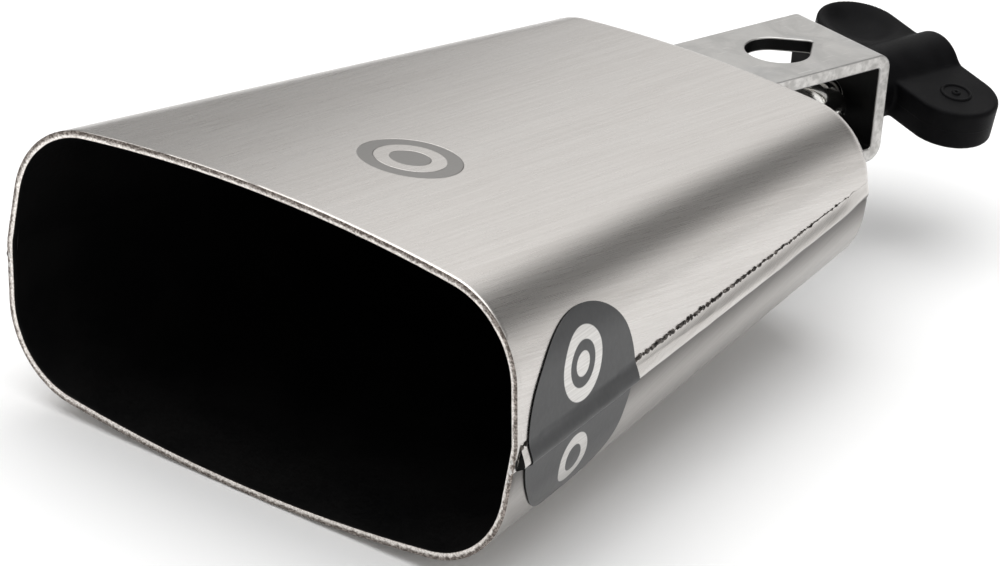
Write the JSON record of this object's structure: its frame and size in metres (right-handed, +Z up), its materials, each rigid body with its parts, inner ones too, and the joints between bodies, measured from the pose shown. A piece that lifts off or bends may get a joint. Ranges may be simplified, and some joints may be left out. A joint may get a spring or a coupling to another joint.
{
  "type": "cowbell",
  "caption": "Mountable cowbell: two lap-welded brushed steel half shells, a C bracket on the closed end, and an eye bolt drawn by a plastic wing nut to grip a rod.",
  "frame": {"origin": "the clamped rod's axis, at the height of the eye bolt's axis", "axes": "+Z up along the rod, +Y from the bell's mouth to its closed end, +X to the side that carries the badge"},
  "size_m": [0.1389, 0.2379, 0.069],
  "materials": {
    "brushed_steel": "lengthwise brushed, clear satin",
    "weld_steel": "raw weld bead, scorched and rough",
    "bracket_steel": "tumbled satin plate with sheared edges",
    "plated_steel": "bright zinc plate",
    "black_plastic": "fine moulded texture",
    "brass_insert": "machined",
    "badge_film": "glossy grey film"
  },
  "bodies": {
    "bell": {"upper_shell": "brushed_steel", "lower_shell": "brushed_steel", "seam_weld_near": "weld_steel", "seam_weld_far": "weld_steel", "side_badge": "badge_film", "mount_bracket": "bracket_steel", "bracket_weld_top_near": "weld_steel", "bracket_weld_top_far": "weld_steel", "bracket_weld_bottom_near": "weld_steel", "bracket_weld_bottom_far": "weld_steel"},
    "wing_nut": {"wing_nut": "black_plastic", "wing_nut_insert": "brass_insert"},
    "eye_bolt": {"eye_bolt": "plated_steel"}
  },
  "joints": [
    {"name": "wing_nut_turn", "type": "hinge", "parent": "bell", "child": "wing_nut", "pos_m": [0.00404, 0.01805, 0], "axis": [0.2181, 0.9759, 0], "range_deg": [0, 2790]},
    {"name": "eye_bolt_draw", "type": "slide", "parent": "bell", "child": "eye_bolt", "axis": [0.2181, 0.9759, 0], "range_m": [-0.0078, 0]}
  ],
  "couplings": [
    {"joint": "eye_bolt_draw", "follows": "wing_nut_turn", "m_per_rad": -0.00015915}
  ]
}
